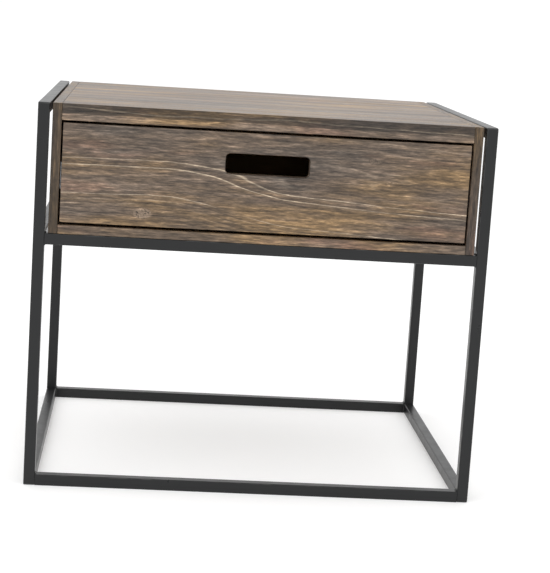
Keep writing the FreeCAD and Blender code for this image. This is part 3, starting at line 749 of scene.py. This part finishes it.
def weld_bead(bm, start, end, first_side, second_side, leg, ripple):
    """Add a rippled fillet between two faces, from one end of their shared edge to the other."""
    length = (end - start).length
    rings_in_ripple = 4
    ripple_depth = 0.14
    end_size, end_slope = 0.35, 6.0
    hollow = 0.22
    steps = 4
    count = max(2, round(length / ripple * rings_in_ripple))
    rings = []
    for index in range(count + 1):
        share = index / count
        place = start.lerp(end, share)
        swell = 1 - ripple_depth + ripple_depth * abs(math.sin(math.pi * share * length / ripple))
        taper = min(1.0, end_size + end_slope * min(share, 1 - share))
        size = leg * swell * taper
        ring = [bm.verts.new(place)]
        for step in range(steps + 1):
            angle = math.radians(90 * step / steps)
            reach = 1.0 - hollow * math.sin(2 * angle)
            offset = first_side * math.cos(angle) + second_side * math.sin(angle)
            ring.append(bm.verts.new(place + offset * size * reach))
        rings.append(ring)
    for first, second in zip(rings, rings[1:]):
        for step in range(len(first)):
            following = (step + 1) % len(first)
            bm.faces.new((first[step], first[following], second[following], second[step]))
    bm.faces.new(rings[0])
    bm.faces.new(reversed(rings[-1]))


def islands(node_name):
    """Return the points of each separate solid of a CAD node."""
    bm = bmesh.new()
    bm.from_mesh(frame["nodes"][node_name].data)
    bmesh.ops.remove_doubles(bm, verts=bm.verts[:], dist=0.001 * MM)
    solids = []
    for start in bm.verts:
        if start.tag:
            continue
        start.tag = True
        waiting, points = [start], []
        while waiting:
            vertex = waiting.pop()
            points.append(vertex.co.copy())
            for edge in vertex.link_edges:
                other = edge.other_vert(vertex)
                if not other.tag:
                    other.tag = True
                    waiting.append(other)
        solids.append(points)
    bm.free()
    return solids


def screw_size(points):
    """Return a screw's face, direction, head radius and height, shank radius and length."""
    low = Vector([min(point[i] for point in points) for i in range(3)])
    high = Vector([max(point[i] for point in points) for i in range(3)])
    size = high - low
    axis = max(range(3), key=lambda i: size[i])
    middle = (low + high) / 2

    def radius(point):
        """Return a point's distance from the screw's axis."""
        offset = point - middle
        offset[axis] = 0.0
        return offset.length

    head_radius = max(radius(point) for point in points)
    head = [point[axis] for point in points if radius(point) > 0.95 * head_radius]
    face_is_low = min(head) - low[axis] < high[axis] - max(head)
    direction = unit(axis, 1.0 if face_is_low else -1.0)
    face = middle.copy()
    face[axis] = low[axis] if face_is_low else high[axis]
    tip = high[axis] if face_is_low else low[axis]
    shank_radius = max(radius(point) for point in points if abs(point[axis] - tip) < 0.01 * MM)
    return face, direction, head_radius, max(head) - min(head), shank_radius, size[axis]


def add_screw(bm, face, direction, head_radius, head_height, shank_radius, length):
    """Add a screw with a crowned head, a cross recess and a pointed shank."""
    segments = 32
    rows = 10
    side = direction.orthogonal().normalized()
    other = direction.cross(side)
    crown = 0.3 * head_height
    arm = 0.12 * head_radius
    reach = 0.55 * head_radius
    recess_depth = 0.6 * head_height
    point_radius = 0.35 * shank_radius
    profile = [(head_radius * row / rows, crown * (row / rows) ** 2) for row in range(1, rows + 1)]
    profile += [
        (head_radius, head_height), (shank_radius, head_height),
        (shank_radius, length - shank_radius), (point_radius, length),
    ]

    def point(radius, depth, angle):
        """Return a place on the screw, sunk where the recess is."""
        u, v = radius * math.cos(angle), radius * math.sin(angle)
        if depth < head_height and min(abs(u), abs(v)) < arm and radius < reach:
            depth += recess_depth * (1 - 0.5 * radius / reach)
        return face + side * u + other * v + direction * depth

    rings = []
    for radius, depth in profile:
        rings.append([
            bm.verts.new(point(radius, depth, math.tau * (step + 0.5) / segments))
            for step in range(segments)
        ])
    centre = bm.verts.new(point(0.0, 0.0, 0.0))
    for step in range(segments):
        following = (step + 1) % segments
        bm.faces.new((centre, rings[0][step], rings[0][following]))
        for first, second in zip(rings, rings[1:]):
            bm.faces.new((first[step], second[step], second[following], first[following]))
    bm.faces.new(rings[-1])


def make_screws(node_name, body, material):
    """Make a node's screws again, with recessed heads."""
    bm = bmesh.new()
    for points in islands(node_name):
        add_screw(bm, *screw_size(points))
    bmesh.ops.recalc_face_normals(bm, faces=bm.faces[:])
    mesh = mesh_from(bm, node_name, smooth=False)
    piece = add_piece(f"{node_name}_recessed", mesh, material, body)
    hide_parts(node_name)


# ---------------------------------------------------------------- making the pieces
def board_material(look, settings, grain, centre, name):
    """Return the material of a board."""
    is_left = centre.x < 0
    if look == "top":
        low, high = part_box(name)
        shade_from = low.z + 0.46 * (high.z - low.z)
        # The top gets painted sheen: broad dark bands that stand in for streaks in its sheen
        return pine_material(
            f"pine_{name}", settings, grain, centre, pith=(0.06, -0.16), tint=0.82, seed=21.0,
            warp=0.030, edge_shade=(shade_from, 0.60), sheen_bands=4.5,
            knots=((0.135, 0.09, 9 * MM, 0.7, 0.6), (-0.19, 0.15, 7 * MM, 0.7, 0.6)))
    if look == "bottom":
        return pine_material(
            f"pine_{name}", settings, grain, centre, pith=(-0.10, 0.05), tint=0.80, seed=33.0,
            warp=0.016)
    if look == "side":
        return pine_material(
            f"pine_{name}", settings, grain, centre, pith=(0.03, 0.12), tint=0.70,
            seed=49.0 if is_left else 57.0, warp=0.02,
            edge_shade=(0.0, 0.62 if is_left else 0.48))
    seed = 60.0 + 5.0 * centre.x
    return plain_wood_material(f"pine_{name}", grain, centre, settings.plain, seed)


def make_boards(settings):
    """Make the carcass boards and the drawer's boards again, with eased edges."""
    for node_name, body, grain, look in BOARDS:
        low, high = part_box(node_name)
        mesh = eased_board(low, high, settings.ease, settings.cell, settings.waviness)
        material = board_material(look, settings, grain, (low + high) / 2, node_name)
        piece = add_piece(f"{node_name}_board", mesh, material, body)
        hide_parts(node_name)
    thin_colour = tuple(0.8 * channel for channel in settings.plain)
    for node_name, seed in (("back_panel", 71.0), ("drawer_bottom", 73.0)):
        low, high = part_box(node_name)
        thin = plain_wood_material(
            f"thin_{node_name}", "X", (low + high) / 2, thin_colour, seed, ring_width=11 * MM)
        dress(thin, node_name)
    beech = plain_wood_material(
        "beech", "X", Vector((0, 0, 0)), settings.beech, seed=79.0, ring_width=2 * MM)
    dress(beech, "carcass_dowels", "drawer_dowels")


def slot_box():
    """Return the finger slot's centre and half size in X and Z.

    The record's opening is smaller than the slot by some room all round.
    """
    openings = frame["record"]["physics"]["openings"]
    low, high = next(entry["box_m"] for entry in openings if entry["name"] == "finger_slot")
    room = 2 * MM
    centre = ((low[0] + high[0]) / 2, (low[2] + high[2]) / 2)
    half = ((high[0] - low[0]) / 2 + room, (high[2] - low[2]) / 2 + room)
    return centre, half


def make_drawer_front(settings):
    """Make the drawer front again, with eased edges inside and out."""
    low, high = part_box("drawer_front")
    centre, half = slot_box()
    slot_radius = 6 * MM
    mesh = slotted_board(
        low, high, centre, half, slot_radius, settings.ease, settings.slot_ease, settings.waviness)
    middle = (low + high) / 2
    height = high.z - low.z
    knots = (
        (-0.160, 0.017 - height / 2, 7.5 * MM, 0.30, 0.85),
        (0.141, height / 2 - 0.028, 5.0 * MM, 0.75, 0.25),
        (0.163, 0.009, 4.0 * MM, 0.60, 0.20),
    )
    material = pine_material(
        "pine_drawer_front", settings, "X", middle, pith=(0.115, 0.10), tint=0.74, seed=4.0,
        warp=0.012, knots=knots, sweep=(0.029, -0.13, 0.04), ridged=(-0.036, 0.022))
    piece = add_piece("drawer_front_board", mesh, material, "drawer")
    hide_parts("drawer_front")


def frame_nodes():
    """Return the names of the tubes."""
    return [
        entry["node"] for entry in frame["record"]["subparts"]
        if entry["material_slot"] == "frame_steel"
    ]


def rail_welds(node_name, axis):
    """Return the welds of a rail that butts between two legs: start, end, first and second side.

    axis is the rail's own: 0 for X, 1 for Y. Beads lie on its top, its underside and its
    inner face, and the outer face is ground flush.
    """
    low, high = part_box(node_name)
    other = 1 - axis
    centre = (CAD_BOX[0][other] + CAD_BOX[1][other]) / 2
    inner_is_high = (low[other] + high[other]) / 2 < centre
    inner = high[other] if inner_is_high else low[other]
    room = 1.6 * MM
    stands_on_floor = low.z < FLOOR_Z + 1 * MM
    welds = []
    for end, outward in ((low[axis], 1.0), (high[axis], -1.0)):
        along = unit(axis, outward)
        levels = [(high.z, 1.0)]
        if not stands_on_floor:
            levels.append((low.z, -1.0))
        for level, side in levels:
            first, second = Vector((0.0, 0.0, level)), Vector((0.0, 0.0, level))
            first[axis] = second[axis] = end
            first[other], second[other] = low[other] + room, high[other] - room
            welds.append((first, second, along, unit(2, side)))
        first, second = Vector((0.0, 0.0, low.z + room)), Vector((0.0, 0.0, high.z - room))
        first[axis] = second[axis] = end
        first[other] = second[other] = inner
        welds.append((first, second, along, unit(other, 1.0 if inner_is_high else -1.0)))
    return welds


def make_frame(settings):
    """Coat the tubes, and lay the weld beads where rails butt against legs."""
    coat = coat_material("powder_coat", settings)
    dress(coat, *frame_nodes())
    bm = bmesh.new()
    for node_name, axis in BUTTED_RAILS:
        for start, end, first, second in rail_welds(node_name, axis):
            weld_bead(bm, start, end, first, second, settings.bead, settings.ripple)
    bmesh.ops.recalc_face_normals(bm, faces=bm.faces[:])
    add_piece("weld_beads", mesh_from(bm, "weld_beads"), coat, "frame")


def make_fittings(settings):
    """Finish the slides, balls, screws and bumpers."""
    rolled = metal_material("zinc_plate", settings.zinc, roughness=0.34, cells=(900, 25, 900))
    dress(rolled, "outer_slide_left", "outer_slide_right", "inner_slide_left",
          "inner_slide_right", "ball_cage_left", "ball_cage_right")
    polished = metal_material("ball_steel", settings.ball, roughness=0.16, cells=(300, 300, 300))
    dress(polished, "slide_balls_left", "slide_balls_right")
    plated = metal_material("screw_zinc", settings.zinc, roughness=0.38, cells=(700, 700, 700))
    oxide = metal_material("black_oxide", settings.oxide, roughness=0.42, cells=(700, 700, 700))
    make_screws("outer_slide_screws", "frame", plated)
    make_screws("inner_slide_screws", "drawer", plated)
    make_screws("carcass_screws", "frame", oxide)
    dress(rubber_material("rubber", settings.rubber), "slide_bumpers")


# ---------------------------------------------------------------- stage
def add_light(name, place, size, power):
    """Add a large soft light that points at the table."""
    data = bpy.data.lights.new(name, "AREA")
    data.shape = "RECTANGLE"
    data.size = data.size_y = size
    data.energy = power
    light = bpy.data.objects.new(name, data)
    light.location = place
    towards = Vector(LIGHT_TARGET) - Vector(place)
    light.rotation_euler = towards.to_track_quat("-Z", "Y").to_euler()
    bpy.context.scene.collection.objects.link(light)


def add_floor(settings):
    """Add a wide pale floor."""
    bm = bmesh.new()
    bmesh.ops.create_circle(
        bm, cap_ends=True, segments=96, radius=FLOOR_RADIUS,
        matrix=Matrix.Translation((0, 0, FLOOR_Z)))
    mesh = mesh_from(bm, "floor", smooth=False)
    nodes = NodeTree("floor")
    tone = nodes.noise(nodes.place(), (3, 3, 3), 2.0, 0.5, 1.0)
    rough = nodes.total(nodes.product(tone, 0.08), 0.7)
    mesh.materials.append(nodes.finish(
        tuple(settings.floor), rough, specular=0.2, glow=(1.0, 1.0, 1.0, 1.0),
        glow_strength=settings.floor_glow))
    floor = bpy.data.objects.new("floor", mesh)
    bpy.context.scene.collection.objects.link(floor)


def add_camera(settings):
    """Add the camera: in front, a little to the left, turned and tipped towards the table."""
    data = bpy.data.cameras.new("camera")
    data.lens = settings.lens
    data.sensor_width = 36.0
    camera = bpy.data.objects.new("camera", data)
    turn = Matrix.Rotation(CAMERA_TURN, 4, "Z")
    tip = Matrix.Rotation(math.pi / 2 - CAMERA_TIP, 4, "X")
    roll = Matrix.Rotation(CAMERA_ROLL, 4, "Z")
    camera.matrix_world = Matrix.Translation(CAMERA_PLACE) @ turn @ tip @ roll
    bpy.context.scene.collection.objects.link(camera)
    bpy.context.scene.camera = camera


def make_stage(settings):
    """Add the floor, the surround, the lights and the camera."""
    add_floor(settings)
    world = bpy.data.worlds.new("surround")
    world.use_nodes = True
    background = world.node_tree.nodes["Background"]
    background.inputs["Color"].default_value = (*settings.surround, 1.0)
    background.inputs["Strength"].default_value = settings.surround_strength
    bpy.context.scene.world = world
    bpy.context.scene.view_settings.view_transform = "Standard"
    for name, place, size, share in LIGHTS:
        add_light(name, place, size, settings.key_power * share)
    add_camera(settings)


# ---------------------------------------------------------------- operators and panel
class SIDETABLE_OT_boards(bpy.types.Operator):
    """Make the carcass boards and the drawer's boards"""

    bl_idname = "side_table.boards"
    bl_label = "Boards"

    def execute(self, context):
        make_boards(context.scene.side_table_pine)
        return {"FINISHED"}


class SIDETABLE_OT_drawer_front(bpy.types.Operator):
    """Make the drawer front with its finger slot"""

    bl_idname = "side_table.drawer_front"
    bl_label = "Drawer Front"

    def execute(self, context):
        make_drawer_front(context.scene.side_table_pine)
        return {"FINISHED"}


class SIDETABLE_OT_frame(bpy.types.Operator):
    """Coat the steel frame and lay its weld beads"""

    bl_idname = "side_table.frame"
    bl_label = "Steel Frame"

    def execute(self, context):
        make_frame(context.scene.side_table_steel)
        return {"FINISHED"}


class SIDETABLE_OT_fittings(bpy.types.Operator):
    """Finish the slides, balls, screws and bumpers"""

    bl_idname = "side_table.fittings"
    bl_label = "Fittings"

    def execute(self, context):
        make_fittings(context.scene.side_table_steel)
        return {"FINISHED"}


class SIDETABLE_OT_stage(bpy.types.Operator):
    """Add the floor, the lights and the camera"""

    bl_idname = "side_table.stage"
    bl_label = "Stage"

    def execute(self, context):
        make_stage(context.scene.side_table_stage)
        return {"FINISHED"}


OPERATORS = [
    SIDETABLE_OT_stage,
    SIDETABLE_OT_frame,
    SIDETABLE_OT_boards,
    SIDETABLE_OT_drawer_front,
    SIDETABLE_OT_fittings,
]


class SIDETABLE_PT_panel(bpy.types.Panel):
    """Lists the side table's settings and operators"""

    bl_idname = "SIDETABLE_PT_panel"
    bl_label = "Side Table"
    bl_space_type = "VIEW_3D"
    bl_region_type = "UI"
    bl_category = "Side Table"

    def draw(self, context):
        layout = self.layout
        for attribute, group in SETTINGS.items():
            column = layout.column(align=True)
            settings = getattr(context.scene, attribute)
            for name in group.__annotations__:
                column.prop(settings, name)
        for operator in OPERATORS:
            layout.operator(operator.bl_idname)


CLASSES = [*SETTINGS.values(), *OPERATORS, SIDETABLE_PT_panel]


def register():
    """Register the classes and the settings."""
    for cls in CLASSES:
        bpy.utils.register_class(cls)
    for attribute, group in SETTINGS.items():
        setattr(bpy.types.Scene, attribute, PointerProperty(type=group))


def unregister():
    """Remove the settings and the classes."""
    for attribute in SETTINGS:
        delattr(bpy.types.Scene, attribute)
    for cls in reversed(CLASSES):
        bpy.utils.unregister_class(cls)


def main():
    """Make the whole table."""
    register()
    bpy.ops.side_table.stage()
    bpy.ops.side_table.frame()
    bpy.ops.side_table.boards()
    bpy.ops.side_table.drawer_front()
    bpy.ops.side_table.fittings()


if __name__ == "__main__":
    main()
